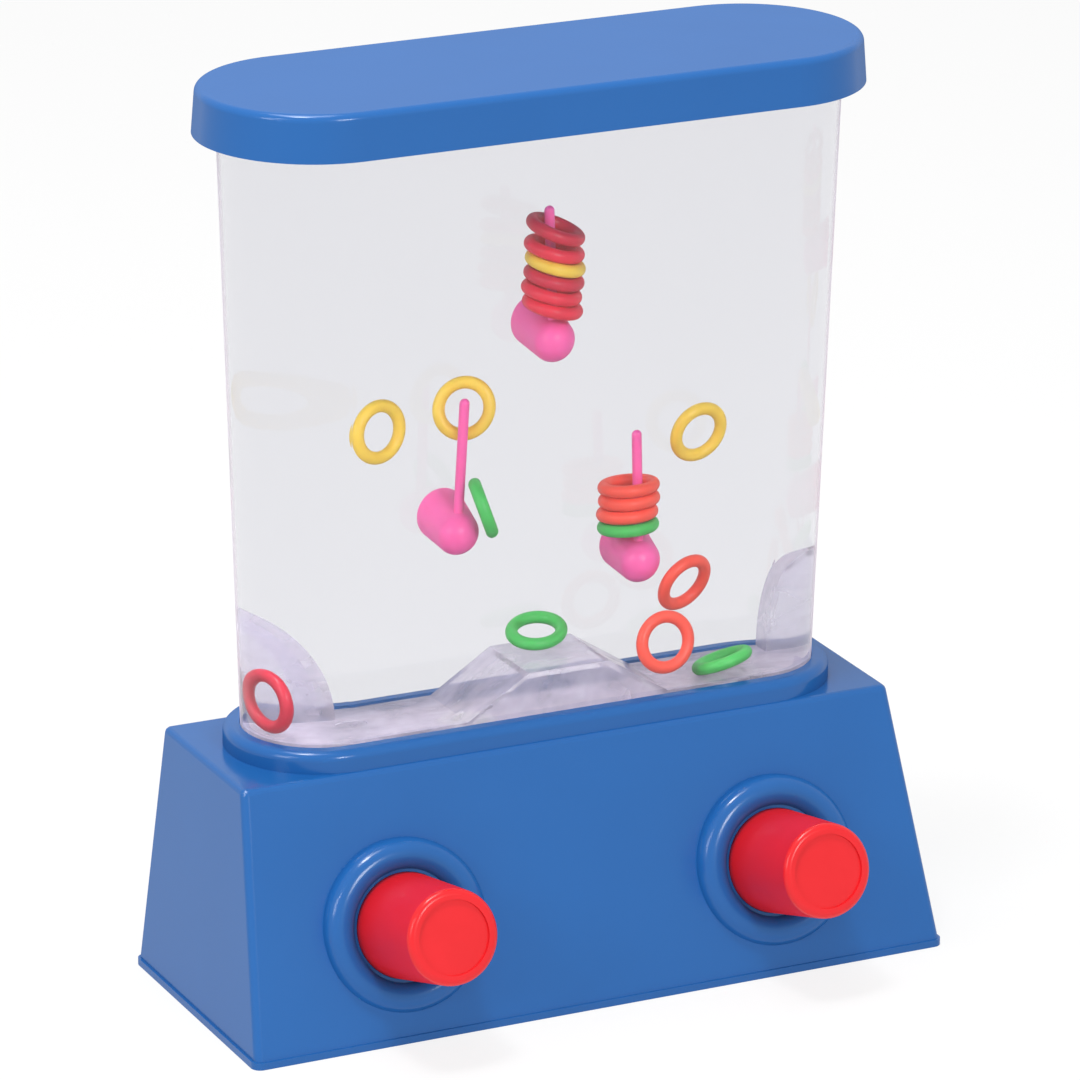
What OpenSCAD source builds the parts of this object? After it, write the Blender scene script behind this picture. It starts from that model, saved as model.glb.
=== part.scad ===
// Handheld water game: a clear tank of water and rings on a base with two pump buttons.
// Lengths are millimetres. X runs along the tank, -Y is the front, +Z is up.
// The origin lies on the table, under the middle of the tank.

/* [Whole] */
// Height of the whole object, table to top of lid
overall_h = 150; // [125:1:190]

/* [Base] */
// Height of the base's top face above the table
base_h = 41.5; // [38:0.5:50]
// Wall of the base housing
base_wall = 2; // [1.6:0.1:2.4]
// Top face beyond the collar, at each end
top_margin_end = 4.65; // [1:0.05:8]
// Top face beyond the collar, at the front
top_margin_front = 0.6; // [0.5:0.1:6]
// Top face beyond the collar, at the back
top_margin_back = 1.3; // [0.3:0.1:6]
// How far the foot spreads beyond the top face, at each end
spread_end = 3.7; // [1:0.1:8]
// How far the foot spreads beyond the top face, at the front
spread_front = 13.35; // [11:0.05:15]
// How far the foot spreads beyond the top face, at the back
spread_back = 2.85; // [1:0.05:8]
// Radius of the upright edges
corner_r = 1.2; // [1:0.1:5]
// Radius of the edge round the top face
top_edge_r = 0.8; // [0.4:0.1:0.9]

/* [Collar] */
// Height of the collar above the top face
collar_h = 3.5; // [2.5:0.1:5]
// Thickness of the collar round the tank
collar_wall = 2.7; // [2.4:0.1:5]
// Radius of the collar's outer top edge
collar_edge_r = 1.5; // [0.5:0.1:2]

/* [Bottom cover] */
// Thickness of the lip round the foot
lip_h = 1.2; // [1:0.1:2]
// How far the lip stands proud of the housing
lip_proud = 0.4; // [0.2:0.1:1.5]
// Height of the cover's raised panel above the lip
panel_h = 1.4; // [1.2:0.1:1.6]
// Distance of the cover screws from the housing's end faces
screw_inset = 8.6; // [7.5:0.1:11]
// Height of the cover screws' pillars above the cover
pillar_h = 11; // [10:0.5:13]
// Radius of the cover screws' shank
screw_r = 1.2; // [1:0.1:1.5]

/* [Tank] */
// Length of the tank at the collar
tank_w = 99.7; // [94:1:120]
// Depth of the tank at the collar
tank_d = 24.5; // [23:0.5:30]
// Outward lean of the tank's walls, in degrees
tank_draft = 1.79; // [1:0.1:2.4]
// Wall of the tank
tank_wall = 1.6; // [1.2:0.1:2]
// Floor of the tank
tank_floor = 1.7; // [1.4:0.1:2.2]

/* [Lid] */
// Height of the lid
lid_h = 7.55; // [6:0.05:12]
// How far the lid's rim stands outside the tank
lid_proud = 3.8; // [3.2:0.1:5]
// Thickness of the lid
lid_wall = 2; // [1.6:0.1:2.4]
// Radius of the lid's top edge
lid_edge_r = 1.2; // [0.8:0.1:1.8]
// How far the lid draws in from its rim to its top
lid_draw_in = 0.5; // [0.2:0.1:1.5]

/* [Floor insert] */
// Place of the hill along the tank
hill_x = 1.6; // [-1:0.1:3]
// Thickness of the clear insert
insert_t = 1.2; // [1:0.1:1.4]
// Height of the hill in the middle
hill_h = 6.8; // [4:0.1:9]
// Half length of the hill's flat top
hill_top = 7.2; // [5:0.1:9]
// Half length of the hill at its foot
hill_foot = 17.8; // [15:0.1:22]
// Height of the mound at the left end
mound_left_h = 19.5; // [14:0.5:22]
// Length of the mound at the left end
mound_left_len = 14; // [11:0.1:15]
// Height of the mound at the right end
mound_right_h = 17; // [12:0.5:20]
// Length of the mound at the right end
mound_right_len = 5.6; // [4.6:0.1:7]
// Front face of the mounds, behind the middle plane
mound_front = 3.9; // [3.8:0.1:5]

/* [Buttons] */
// Distance between the two buttons
button_spacing = 65.8; // [62:0.2:72]
// Tilt of the buttons' axes above the level, in degrees
button_tilt = 14.65; // [12:0.05:17]
// Gap between a button's sleeve and the bottom cover
sleeve_lift = 0.6; // [0.4:0.1:1.5]
// Radius of a button where it runs in its guide
button_r = 8.5; // [8:0.1:10.4]
// How much narrower a button is at its front face, on the radius
button_taper = 0.8; // [0.5:0.05:1.2]
// How far a button stands out of the front face
button_out = 19.1; // [16:0.1:24]
// How far a button can be pushed in
button_stroke = 8; // [6:0.5:9]
// Wall of a button
button_wall = 1.4; // [1.2:0.1:1.6]
// Running gap round a button at its mouth
mouth_gap = 0.6; // [0.4:0.1:1.2]
// Width of the bezel round a button
bezel_w = 4.9; // [4:0.1:5.5]
// Height of the bezel above the front face
bezel_h = 2.4; // [1.6:0.1:3]

/* [Pumps] */
// Bore of a pump barrel, as a radius
pump_bore_r = 4.4; // [4:0.1:4.5]
// Wall of a pump barrel
pump_wall = 1; // [0.9:0.1:1.1]
// Radius of a plunger's stem
stem_r = 2; // [1.5:0.1:2.4]
// Bore of an outlet riser, as a radius
riser_bore_r = 1.3; // [1:0.1:1.5]
// Radius of the pump screws' shank
pump_screw_r = 1; // [0.8:0.1:1.1]

/* [Return springs] */
// Radius of a spring's wire
wire_r = 0.3; // [0.25:0.05:0.35]
// Curls in a spring
spring_curls = 7; // [5:1:9]

/* [Jets] */
// Radius of a nozzle's nose in the insert
nozzle_nose_r = 2.2; // [1.8:0.1:2.6]
// Radius of the hole that the water leaves by
jet_r = 0.7; // [0.4:0.1:1]
// Wall of the soft tube between pump and nozzle
hose_wall = 1.1; // [0.8:0.1:1.4]

/* [Filler] */
// Place of the filler along the tank
filler_x = -13; // [-15:0.5:-12]
// Bore of the filler neck, as a radius
neck_bore_r = 3.6; // [3:0.1:4]
// Wall of the filler neck
neck_wall = 1.4; // [1.2:0.1:1.8]
// How far the filler plug reaches into the neck
plug_reach = 7; // [5:0.5:10]

/* [Pegs] */
// Place of the top peg along the tank
peg_x = 2.6; // [-1:0.1:3]
// Distance of the left peg from the top peg, along the tank
peg_left_out = 16.6; // [15.8:0.1:17]
// Distance of the right peg from the top peg, along the tank
peg_right_out = 15.8; // [15.4:0.1:16.4]
// Height of the top peg's boss below the tank's top edge
peg_top_drop = 43.1; // [38:0.2:48]
// Height of the left peg's boss above the collar
peg_left_up = 29; // [28:0.2:31]
// Height of the right peg's boss above the collar
peg_right_up = 19.6; // [19:0.2:21]
// Fall of a boss towards its front, in degrees
boss_slope = 9; // [6:0.5:12]
// Radius of a boss at the back wall
boss_back_r = 4.3; // [4:0.1:4.4]
// Radius of a boss's domed front
boss_front_r = 3.6; // [3.2:0.1:3.8]
// Distance of the rods behind the middle plane
rod_y = 2.9; // [2.6:0.1:3.2]
// Radius of a rod
rod_r = 0.85; // [0.7:0.05:1]
// Height of a rod above the middle of its boss
rod_h = 22.4; // [20:0.2:23]
// Lean of the left rod, in degrees
left_rod_lean = 3; // [0:0.5:4]
// Lean of the top rod, in degrees
top_rod_lean = -2.5; // [-3:0.5:0]
// Lean of the right rod, in degrees
right_rod_lean = -2; // [-2.5:0.5:0]

/* [Rings] */
// Outer diameter of a ring
ring_d = 10.6; // [9.4:0.1:10.8]
// Thickness of a ring
ring_t = 2.1; // [1.7:0.1:2.2]
// Gap between stacked rings
stack_gap = 0.15; // [0.1:0.01:0.2]

/* [Fits] */
// Running fit of the buttons and plug, on the radius
run_fit = 0.08; // [0.05:0.01:0.1]
// Running fit of the plunger seals, on the radius
seal_fit = 0.05; // [0.02:0.01:0.1]
// Gap between pieces that are fitted or glued together
seat_fit = 0.1; // [0.05:0.01:0.2]
// Gap round things that move past each other
clear_gap = 0.3; // [0.2:0.05:0.5]

/* [Hidden] */
$fn = 64;
hull_fn = 32;
eps = 0.01;

blue = "#3d6bb8";
button_red = "#ee2a2c";
peg_pink = "#f46aa8";
clear_tint = [0.85, 0.88, 0.93, 0.35];
ring_red = "#dc3246";
ring_dark_red = "#b4283c";
ring_yellow = "#e6c34b";
ring_orange = "#f05a4b";
ring_green = "#55be5f";
rubber_black = "#2b2b2e";
white_plastic = "#e9e9ea";
steel = "#b9bcc0";
milky_hose = "#d8d8da";

// Tank: a racetrack outline whose radius grows with height, on two fixed centres
collar_top = base_h + collar_h;
track_half = (tank_w - tank_d) / 2;
function tank_r(z) = tank_d / 2 + (z - collar_top) * tan(tank_draft);
function bore_r(z) = tank_r(z) - tank_wall / cos(tank_draft);
socket_r = tank_r(collar_top) + seat_fit;
collar_r = socket_r + collar_wall;
seal_t = 0.8;
tank_sink = 0.8;
tank_bottom = base_h - tank_sink;
tank_floor_top = tank_bottom + tank_floor;
seat_z = tank_bottom - seal_t;
seat_t = 2;
seat_ledge = 2.4;
seat_wall = 1.1;
seat_opening_r = tank_r(tank_bottom) - seat_ledge;
lid_gasket_t = 0.8;
lid_under = overall_h - lid_wall;
tank_top = lid_under - lid_gasket_t;
lid_rim_z = overall_h - lid_h;
skirt_t = 1.4;
skirt_rib_t = 0.9;
lid_core_t = 1.5;

// Base outline: half length, front and back, at the top face and at the foot
housing_z = lip_h;
top_half_w = track_half + collar_r + top_margin_end;
top_front = collar_r + top_margin_front;
top_back = collar_r + top_margin_back;
foot_half_w = top_half_w + spread_end;
foot_front = top_front + spread_front;
foot_back = top_back + spread_back;
housing_h = base_h - housing_z;
face_lean = atan(spread_front / housing_h);
function front_y(z) = -(foot_front - (z - housing_z) * spread_front / housing_h);

// Screws
pillar_wall = 2;
pillar_r = screw_r + pillar_wall;
rib_t = 1.6;
screw_len = 9;
screw_head_r = screw_r + 1.4;
screw_head_t = 1.5;
screw_head_z = 0.3;
back_screw_shift = 1.6;
back_screw_y = foot_back - screw_inset + back_screw_shift;
pump_screw_len = 7.5;
pump_head_r = pump_screw_r + 0.9;
pump_head_t = 1.2;
panel_gap = 2 * seat_fit;

// Insert: a plate on short legs over the tank floor, its valleys level with the collar
valley_z = collar_top;
insert_gap = 0.3;
insert_r = bore_r(valley_z - insert_t) - insert_gap;
mound_end = track_half + insert_r;

// Buttons: in their own frame +Z points out of the front face, along the axis
button_x = button_spacing / 2;
guide_r = button_r + run_fit;
mouth_r = button_r + mouth_gap;
mouth_z = 0.6;
shoulder_z = -3;
flange_t = 1.5;
flange_r = button_r + 1.2;
track_r = flange_r + 0.15;
sleeve_wall = 1.2;
sleeve_r = track_r + sleeve_wall;
stop_gap = 0.1;
flange_back_z = shoulder_z - stop_gap - flange_t;
sleeve_end_z = flange_back_z - button_stroke - 2.5;
sleeve_low_z = lip_h + panel_h + sleeve_lift;
button_z = sleeve_low_z + sleeve_r * cos(button_tilt) - sleeve_end_z * sin(button_tilt);
face_at_button = front_y(button_z);
bezel_r = mouth_r + bezel_w;
bezel_overlap = 0.2;
bezel_round = (bezel_w + bezel_overlap) / 2;
bezel_root = bezel_r * abs(tan(face_lean - button_tilt)) + 0.7;
button_front_r = button_r - button_taper;
button_edge_r = 1.1;
button_front_wall = 1.8;
button_inner_r = button_r - button_wall;
button_step_z = 2;
button_nose_r = button_front_r - button_wall;
stem_socket_r = stem_r + 1.4;
stem_socket_z = 10;
face_dish = 0.4;
face_rim = 1.7;

// Pumps, in the button's frame
pump_flange_t = 1.5;
pump_flange_z = sleeve_end_z - pump_flange_t;
pump_flange_r = sleeve_r - 0.4;
pump_r = pump_bore_r + pump_wall;
pump_mouth_z = 1 - button_stroke;
riser_depth = -face_at_button / cos(button_tilt);
pump_end_z = -riser_depth - 4;
pump_end_wall = 1.3;
head_t = 3;
head_z = -riser_depth + riser_bore_r + 1.5 + button_stroke;
head_r = pump_bore_r - clear_gap;
groove_t = 1.5;
groove_r = head_r - 1;
groove_z = head_z + (head_t - groove_t) / 2;
ear_x = sleeve_r + 2.2;
ear_r = 2.6;
riser_x_z = button_z - riser_depth * sin(button_tilt);
riser_r = riser_bore_r + 1.2;
hose_run = 16.7;
riser_shoulder_z = tank_bottom - hose_run;
barb_r = riser_bore_r + 0.6;
barb_h = 5;
barb_top_z = riser_shoulder_z + barb_h;
vent_r = 0.9;
vent_at = (pump_r + sleeve_r) / 2 - 0.6;

// Jets
nozzle_bore_r = 1.1;
nozzle_flange_r = 4.2;
nozzle_flange_t = 0.7;
nozzle_shank_r = 2.9;
nozzle_tail_h = 9;
nozzle_tail_z = tank_bottom - nozzle_tail_h;
jet_len = 3;
nozzle_tail_r = barb_r;
hose_r = barb_r + hose_wall;

// Filler
neck_r = neck_bore_r + neck_wall;
neck_bottom_z = lip_h + 0.6;
recess_r = neck_r + 2.2;
recess_z = 1.4;
plug_head_r = recess_r - 0.3;
plug_foot_z = 0.3;
plug_slot_w = 1.2;
plug_slot_h = 1.35;
plug_chamfer = 0.8;
neck_flange_t = 1.5;
neck_flange_w = 1.6;

// Springs
spring_bottom_z = sleeve_end_z + wire_r;
spring_top_z = button_step_z - wire_r;
rings_a_curl = 8;
wire_sides = 6;
spring_r = (pump_r + button_inner_r) / (1 + cos(180 / rings_a_curl));

// Pegs: a boss widens and climbs from the rod back to the wall
peg_left_x = peg_x - peg_left_out;
peg_right_x = peg_x + peg_right_out;
peg_top_z = tank_top - peg_top_drop;
peg_left_z = collar_top + peg_left_up;
peg_right_z = collar_top + peg_right_up;
boss_flare = atan((boss_back_r - boss_front_r) / (bore_r(peg_right_z) - rod_y));
boss_climb = tan(boss_slope + boss_flare);
function boss_top(d) = boss_front_r * cos(boss_slope) + (d + boss_front_r * sin(boss_slope)) * boss_climb;

// Rings
ring_r = ring_t / 2;
ring_centre_r = ring_d / 2 - ring_r;
ring_pitch = ring_t + stack_gap;

// One solid of the tank's racetrack outline; its half section is the children, at x >= 0
module racetrack() {
  for (s = [-1, 1])
    translate([s * track_half, 0, 0]) rotate([0, 0, -90 * s]) rotate_extrude(angle = 180) children();
  rotate([90, 0, 90]) linear_extrude(2 * track_half, center = true) {
    children();
    mirror([1, 0]) children();
  }
}

// A plain racetrack slab of radius r
module slab(r, z0, z1) {
  racetrack() translate([0, z0]) square([r, z1 - z0]);
}

// The tank's leaning wall as a solid, grown outward by gap
module tank_core(z0, z1, grow) {
  racetrack() polygon([[0, z0], [tank_r(z0) + grow, z0], [tank_r(z1) + grow, z1], [0, z1]]);
}

// The space inside the tank, drawn inward by gap
module tank_space(z0, z1, gap) {
  racetrack() polygon([[0, z0], [bore_r(z0) - gap, z0], [bore_r(z1) - gap, z1], [0, z1]]);
}

// Housing block with leaning sides, drawn inward by inset
module base_block(inset, z0, z1, r, edge) {
  slope_end = spread_end / housing_h;
  slope_front = spread_front / housing_h;
  slope_back = spread_back / housing_h;
  steps = edge > 0 ? [0, 30, 60, 90] : [0];
  hull() {
    base_corners(inset, z0, r, slope_end, slope_front, slope_back, 0);
    for (a = steps)
      base_corners(inset, z1 - edge + edge * sin(a) - eps, r, slope_end, slope_front, slope_back,
        edge * (1 - cos(a)));
  }
}

// Four thin discs at the corners of the block's outline at height z
module base_corners(inset, z, r, slope_end, slope_front, slope_back, draw_in) {
  up = z - housing_z;
  half = foot_half_w - up * slope_end - inset;
  front = foot_front - up * slope_front - inset;
  back = foot_back - up * slope_back - inset;
  for (x = [-1, 1]) {
    translate([x * (half - r), -(front - r), z]) cylinder(h = eps, r = r - draw_in, $fn = hull_fn);
    translate([x * (half - r), back - r, z]) cylinder(h = eps, r = r - draw_in, $fn = hull_fn);
  }
}

// Moves children into the frame of a button: side is -1 for left and 1 for right
module at_button(side) {
  translate([side * button_x, face_at_button, button_z]) rotate([90 - button_tilt, 0, 0]) children();
}

module cover_screw_places() {
  x = foot_half_w - screw_inset;
  for (s = [-1, 1]) {
    translate([s * x, -(foot_front - screw_inset), 0]) children();
    translate([s * x, back_screw_y, 0]) children();
  }
}

// Webs that carry the screw pillars on the end walls, from z0 to z1
module pillar_ribs(z0, z1) {
  x0 = foot_half_w - screw_inset;
  function wall_x(z) = foot_half_w - (z - housing_z) * spread_end / housing_h - base_wall / 2;
  for (s = [-1, 1])
    for (y = [-(foot_front - screw_inset), back_screw_y])
      translate([0, y + rib_t / 2, 0]) rotate([90, 0, 0]) linear_extrude(rib_t)
        polygon([[s * (x0 + pillar_r / 2), z0], [s * wall_x(z0), z0], [s * wall_x(z1), z1],
          [s * (x0 + pillar_r / 2), z1]]);
}

module pump_screw_places() {
  for (side = [-1, 1])
    at_button(side)
      for (s = [-1, 1]) translate([s * ear_x, 0, 0]) children();
}

module bezel() {
  inner = mouth_r - bezel_overlap;
  rotate_extrude() {
    translate([inner, -bezel_root]) square([bezel_r - inner, bezel_root + bezel_h - bezel_round]);
    intersection() {
      translate([bezel_r - bezel_round, bezel_h - bezel_round]) circle(bezel_round);
      translate([inner, -bezel_root]) square([bezel_r - inner, bezel_root + bezel_h]);
    }
  }
}

module base_housing() {
  pillar_z = lip_h + panel_h + seat_fit;
  color(blue) difference() {
    union() {
      difference() {
        base_block(0, housing_z, base_h, corner_r, top_edge_r);
        base_block(base_wall, housing_z - 1, base_h - base_wall, corner_r - 0.5, 0);
      }
      racetrack() {
        translate([0, seat_z - seat_t]) square([socket_r + seat_wall, collar_top - seat_z + seat_t]);
        translate([0, base_h - 1]) square([collar_r, 1 + collar_h - collar_edge_r]);
        translate([0, base_h]) square([collar_r - collar_edge_r, collar_h]);
        translate([collar_r - collar_edge_r, collar_top - collar_edge_r]) circle(collar_edge_r);
      }
      for (side = [-1, 1])
        at_button(side) {
          bezel();
          translate([0, 0, sleeve_end_z]) cylinder(h = -sleeve_end_z + mouth_z, r = sleeve_r);
          for (s = [-1, 1])
            translate([s * ear_x, 0, sleeve_end_z]) cylinder(h = -sleeve_end_z - 0.5, r = ear_r);
        }
      cover_screw_places()
        translate([0, 0, pillar_z]) cylinder(h = pillar_h, r = pillar_r);
      pillar_ribs(pillar_z, pillar_z + pillar_h);
    }
    slab(seat_opening_r, seat_z - seat_t - 1, seat_z + 1);
    slab(socket_r, seat_z, collar_top + 1);
    for (side = [-1, 1])
      at_button(side) {
        translate([0, 0, shoulder_z - 1]) cylinder(h = bezel_h + 5, r = guide_r);
        translate([0, 0, sleeve_end_z - 1]) cylinder(h = shoulder_z - sleeve_end_z + 1, r = track_r);
        translate([0, 0, mouth_z]) cylinder(h = bezel_h + 1, r = mouth_r);
      }
    pump_screw_places()
      translate([0, 0, sleeve_end_z - 1]) cylinder(h = 8, r = pump_screw_r + seat_fit / 2);
    cover_screw_places()
      translate([0, 0, pillar_z - 1]) cylinder(h = 10, r = screw_r + seat_fit / 2);
  }
}

module bottom_cover() {
  lip_half = foot_half_w + lip_proud;
  lip_front = foot_front + lip_proud;
  lip_back = foot_back + lip_proud;
  color(blue) difference() {
    union() {
      round_plate(lip_half, lip_front, lip_back, corner_r + lip_proud, 0, lip_h);
      rise = panel_h / housing_h;
      round_plate(foot_half_w - base_wall - rise * spread_end - panel_gap,
        foot_front - base_wall - rise * spread_front - panel_gap,
        foot_back - base_wall - rise * spread_back - panel_gap, 1.5, lip_h, panel_h);
    }
    translate([filler_x, 0, -1]) cylinder(h = lip_h + panel_h + 2, r = neck_r + clear_gap);
    translate([filler_x, 0, -1]) cylinder(h = recess_z + 1, r = recess_r);
    cover_screw_places() {
      translate([0, 0, -1]) cylinder(h = lip_h + panel_h + 2, r = screw_r + 2 * seat_fit);
      translate([0, 0, -1]) cylinder(h = screw_head_z + screw_head_t + 1, r = screw_head_r + clear_gap);
    }
  }
}

// A flat plate with round corners, from z0 up by h
module round_plate(half, front, back, r, z0, h) {
  translate([0, 0, z0]) linear_extrude(h) {
    translate([-half + r, -front]) square([2 * (half - r), front + back]);
    translate([-half, -front + r]) square([2 * half, front + back - 2 * r]);
    for (x = [-1, 1]) {
      translate([x * (half - r), -front + r]) circle(r);
      translate([x * (half - r), back - r]) circle(r);
    }
  }
}

// A pan-head screw pointing up, its head at z = 0
module screw(shank_r, length, head_r, head_t) {
  difference() {
    union() {
      cylinder(h = head_t, r = head_r);
      translate([0, 0, head_t - eps]) cylinder(h = length - shank_r, r = shank_r);
      translate([0, 0, head_t + length - shank_r - eps]) cylinder(h = shank_r, r1 = shank_r, r2 = 0.3);
    }
    for (a = [0, 90])
      rotate([0, 0, a]) translate([-head_r * 0.6, -head_r * 0.13, -1])
        cube([head_r * 1.2, head_r * 0.26, 1 + head_t * 0.55]);
  }
}

module cover_screws() {
  color(steel) cover_screw_places() translate([0, 0, screw_head_z])
    screw(screw_r, screw_len, screw_head_r, screw_head_t);
}

module pump_screws() {
  color(steel) pump_screw_places()
    translate([0, 0, pump_flange_z - pump_head_t])
      screw(pump_screw_r, pump_screw_len, pump_head_r, pump_head_t);
}

module tank() {
  color(clear_tint) difference() {
    tank_core(tank_bottom, tank_top, 0);
    tank_space(tank_floor_top, tank_top + 1, 0);
    for (s = [-1, 1])
      translate([s * button_x, 0, tank_bottom - 1])
        cylinder(h = tank_floor + 2, r = nozzle_shank_r + seat_fit / 2);
    translate([filler_x, 0, tank_bottom - 1]) cylinder(h = tank_floor + 2, r = neck_r + seat_fit / 2);
  }
}

module tank_seal() {
  color(rubber_black) difference() {
    slab(tank_r(tank_bottom) - 0.3, seat_z, tank_bottom);
    slab(seat_opening_r + 0.2, seat_z - 1, tank_bottom + 1);
  }
}

module lid() {
  rim_r = tank_r(lid_rim_z) + lid_proud;
  top_r = rim_r - lid_draw_in;
  skirt_r = tank_r(tank_top) + seat_fit;
  groove_top = lid_under - lid_core_t;
  color(blue) difference() {
    racetrack() {
      polygon([[0, lid_rim_z], [rim_r, lid_rim_z], [top_r, overall_h - lid_edge_r],
        [0, overall_h - lid_edge_r]]);
      translate([0, lid_rim_z + 1]) square([top_r - lid_edge_r, lid_h - 1]);
      translate([top_r - lid_edge_r, overall_h - lid_edge_r]) circle(lid_edge_r);
    }
    slab(skirt_r, lid_rim_z - 1, lid_under);
    difference() {
      racetrack() polygon([[0, lid_rim_z - 1], [rim_r - skirt_t, lid_rim_z - 1],
        [rim_r - skirt_t, lid_rim_z], [top_r - skirt_t, groove_top], [0, groove_top]]);
      slab(skirt_r + skirt_rib_t, lid_rim_z - 2, lid_under + 1);
    }
  }
}

module lid_gasket() {
  color(rubber_black) difference() {
    slab(tank_r(tank_top) - 0.2, tank_top, lid_under);
    slab(bore_r(tank_top) + 0.1, tank_top - 1, lid_under + 1);
  }
}

module hill_strip() {
  outline = [[-mound_end, 0], [hill_x - hill_foot, 0], [hill_x - hill_top, hill_h],
    [hill_x + hill_top, hill_h], [hill_x + hill_foot, 0], [mound_end, 0]];
  under = [for (i = [len(outline) - 1:-1:0]) [outline[i][0], outline[i][1] - insert_t]];
  rotate([90, 0, 0]) linear_extrude(4 * insert_r, center = true) polygon(concat(outline, under));
}

// The wall that closes the front of the hill
module hill_front() {
  rotate([90, 0, 0]) translate([0, 0, insert_r - insert_t]) linear_extrude(insert_t + 1)
    polygon([[hill_x - hill_foot, -insert_t], [hill_x - hill_foot, 0], [hill_x - hill_top, hill_h],
      [hill_x + hill_top, hill_h], [hill_x + hill_foot, 0], [hill_x + hill_foot, -insert_t]]);
}

// One mound, a quarter of an ellipse against the end wall; side -1 is the left
module mound_block(side, drop) {
  length = (side < 0 ? mound_left_len : mound_right_len) - drop;
  high = (side < 0 ? mound_left_h : mound_right_h) - drop;
  steps = 14;
  arc = [for (i = [0:steps])
    [side * (mound_end - length * sin(90 * i / steps)), high * cos(90 * i / steps)]];
  floor_line = [[side * (mound_end - length), -insert_t - 1], [side * mound_end, -insert_t - 1]];
  rotate([90, 0, 0]) translate([0, 0, -4 * insert_r]) linear_extrude(4 * insert_r - mound_front - drop)
    polygon(concat(arc, floor_line));
}

module ramp_insert() {
  top_z = valley_z + max(mound_left_h, mound_right_h) + 1;
  color(clear_tint) difference() {
    intersection() {
      translate([0, 0, valley_z]) union() {
        hill_strip();
        hill_front();
        mound_block(-1, 0);
        mound_block(1, 0);
      }
      racetrack() polygon([[0, valley_z - insert_t], [insert_r, valley_z - insert_t],
        [bore_r(top_z) - insert_gap, top_z], [0, top_z]]);
    }
    translate([0, 0, valley_z]) {
      mound_block(-1, insert_t);
      mound_block(1, insert_t);
    }
    for (s = [-1, 1])
      translate([s * button_x, 0, valley_z - insert_t - 1])
        cylinder(h = insert_t + 2, r = nozzle_nose_r + seat_fit);
  }
}

module filler_neck() {
  color(white_plastic) translate([filler_x, 0, 0]) difference() {
    union() {
      translate([0, 0, neck_bottom_z]) cylinder(h = tank_floor_top - neck_bottom_z, r = neck_r);
      translate([0, 0, tank_bottom - neck_flange_t - seat_fit / 2])
        cylinder(h = neck_flange_t, r = neck_r + neck_flange_w);
    }
    translate([0, 0, neck_bottom_z - 1]) cylinder(h = tank_floor_top - neck_bottom_z + 2, r = neck_bore_r);
  }
}

module filler_plug() {
  color(rubber_black) translate([filler_x, 0, 0]) difference() {
    union() {
      translate([0, 0, plug_foot_z]) cylinder(h = recess_z - plug_foot_z - seat_fit, r = plug_head_r);
      translate([0, 0, recess_z - seat_fit - eps])
        cylinder(h = neck_bottom_z + plug_reach - recess_z - 1, r = neck_bore_r - run_fit);
      translate([0, 0, neck_bottom_z + plug_reach - 1 - seat_fit - 2 * eps])
        cylinder(h = 1, r1 = neck_bore_r - run_fit, r2 = neck_bore_r - plug_chamfer);
    }
    translate([-plug_head_r - 1, -plug_slot_w / 2, -1])
      cube([2 * plug_head_r + 2, plug_slot_w, plug_foot_z + plug_slot_h]);
  }
}

module jet_nozzle(side) {
  color(white_plastic) translate([side * button_x, 0, 0]) difference() {
    union() {
      translate([0, 0, nozzle_tail_z]) cylinder(h = tank_bottom - nozzle_tail_z, r = nozzle_tail_r);
      translate([0, 0, tank_bottom - 1]) cylinder(h = tank_floor + 1, r = nozzle_shank_r);
      translate([0, 0, tank_floor_top]) cylinder(h = nozzle_flange_t, r = nozzle_flange_r);
      translate([0, 0, tank_floor_top])
        cylinder(h = valley_z - tank_floor_top - seat_fit, r = nozzle_nose_r);
    }
    translate([0, 0, nozzle_tail_z - 1])
      cylinder(h = valley_z - jet_len - nozzle_tail_z + 2, r = nozzle_bore_r);
    translate([0, 0, valley_z - jet_len]) cylinder(h = jet_len + 1, r = jet_r);
  }
}

module jet_nozzle_left() jet_nozzle(-1);
module jet_nozzle_right() jet_nozzle(1);

module jet_tube(side) {
  bottom = riser_shoulder_z + seat_fit;
  top = tank_bottom - 1 - seat_fit;
  color(milky_hose) translate([side * button_x, 0, 0]) difference() {
    translate([0, 0, bottom]) cylinder(h = top - bottom, r = hose_r);
    translate([0, 0, bottom - 1]) cylinder(h = top - bottom + 2, r = barb_r + seat_fit / 2);
  }
}

module jet_tube_left() jet_tube(-1);
module jet_tube_right() jet_tube(1);

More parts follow.
